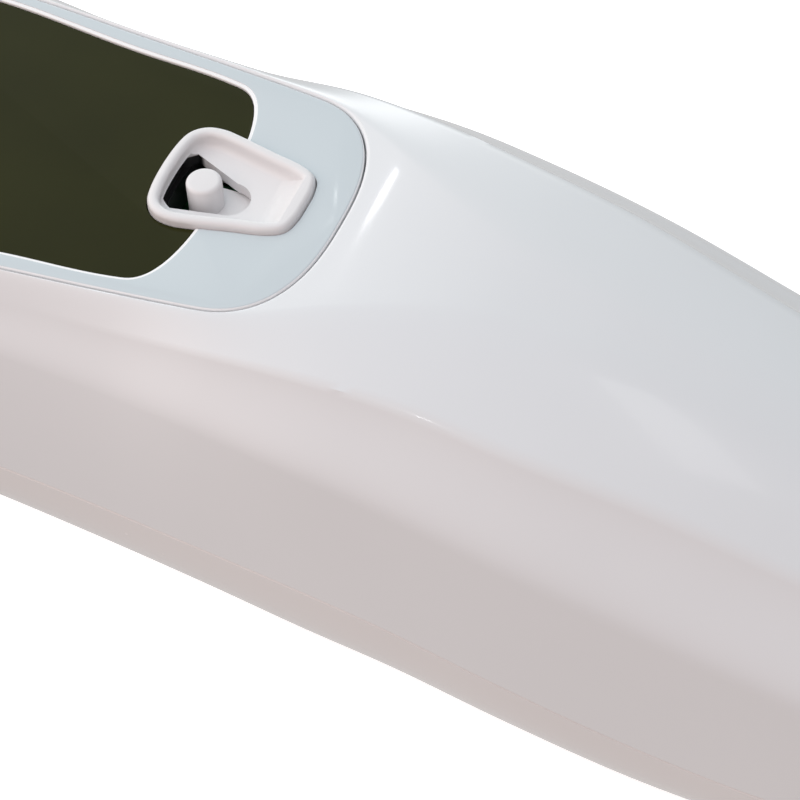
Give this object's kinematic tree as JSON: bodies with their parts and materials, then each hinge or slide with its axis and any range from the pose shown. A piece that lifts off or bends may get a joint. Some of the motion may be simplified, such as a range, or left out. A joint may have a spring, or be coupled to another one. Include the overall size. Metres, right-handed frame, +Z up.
{
  "type": "ear thermometer",
  "caption": "Handheld infrared ear thermometer: curved two-shell casing, dark display window, recessed slide switch, buttons, leaning probe with cover ejector, and battery door.",
  "frame": {"origin": "on the surface that the thermometer rests on, midway between the nose and the tail, on its plane of symmetry", "axes": "+X from the nose to the tail of the handle, +Y to the far side, +Z up, square to the flat faceplate"},
  "size_m": [0.153, 0.0388, 0.0418],
  "materials": {
    "casing_gloss": "glossy cool white ABS",
    "casing_lower": "satin warm white ABS",
    "faceplate_grey": "smooth pale bluish grey",
    "window_tint": "glossy olive-black tinted lens",
    "switch_white": "smooth white",
    "button_grey": "satin blue-grey",
    "lcd_glass": "glass cell with reflective backing",
    "light_guide": "milky light guide",
    "frame_white": "moulded white",
    "silicone_grey": "soft grey silicone",
    "silicone_pink": "conductive elastomer strip",
    "board_green": "green solder mask",
    "chip_black": "black moulded package",
    "component_tan": "ceramic and metal parts",
    "flex_amber": "amber polyimide film",
    "steel": "zinc plated steel",
    "contact_nickel": "nickel plated spring steel",
    "gold_plate": "gold plated tube",
    "brass_block": "turned brass",
    "sensor_can": "nickel plated can",
    "sensor_window": "dark polished infrared window",
    "probe_white": "smooth white",
    "ejector_blue_grey": "satin blue-grey",
    "tray_grey": "textured dark grey",
    "cell_wrap": "plain printed sleeve"
  },
  "bodies": {
    "casing": {"upper_shell": "casing_gloss", "lower_shell": "casing_lower", "faceplate": "faceplate_grey", "display_window": "window_tint", "lcd_panel": "lcd_glass", "lcd_frame": "frame_white", "lcd_backlight": "light_guide", "zebra_strip": "silicone_pink", "switch_well": "switch_white", "slide_switch": "steel", "scan_dome": "silicone_grey", "memory_dome": "silicone_grey", "main_board": "board_green", "microcontroller": "chip_black", "board_components": "component_tan", "buzzer": "chip_black", "nose_cone": "casing_gloss", "probe_barrel": "probe_white", "probe_tip_ring": "steel", "probe_window": "sensor_window", "waveguide": "gold_plate", "sensor_holder": "brass_block", "thermopile_sensor": "sensor_can", "sensor_flex": "flex_amber", "battery_tray": "tray_grey", "battery_1": "cell_wrap", "battery_2": "cell_wrap", "positive_contact": "contact_nickel", "negative_contact": "contact_nickel", "bridge_contact": "contact_nickel", "shell_screws": "steel", "board_screws": "steel"},
    "power_slider": {"power_slider": "switch_white", "switch_actuator": "chip_black"},
    "scan_button": {"scan_button": "button_grey"},
    "memory_button": {"memory_button": "switch_white"},
    "ejector_ring": {"ejector_ring": "ejector_blue_grey"},
    "battery_door": {"battery_door": "casing_lower", "battery_door_screw": "steel"}
  },
  "joints": [
    {"name": "power_slide", "type": "slide", "parent": "casing", "child": "power_slider", "axis": [1, 0, 0], "range_m": [0, 0.002]},
    {"name": "scan_press", "type": "slide", "parent": "casing", "child": "scan_button", "axis": [0, 0, -1], "range_m": [0, 0.0008], "stiffness_N_per_m": 1500, "springref_m": -0.0004, "deforming": ["scan_dome"]},
    {"name": "memory_press", "type": "slide", "parent": "casing", "child": "memory_button", "axis": [0, 0, -1], "range_m": [0, 0.0008], "stiffness_N_per_m": 1200, "springref_m": -0.0004, "deforming": ["memory_dome"]},
    {"name": "cover_eject", "type": "slide", "parent": "casing", "child": "ejector_ring", "axis": [-0.4226, 0, -0.9063], "range_m": [0, 0.0025]},
    {"name": "door_lift_off", "type": "slide", "parent": "casing", "child": "battery_door", "axis": [-0.1908, 0, -0.9816], "range_m": [0, 0.03]}
  ]
}
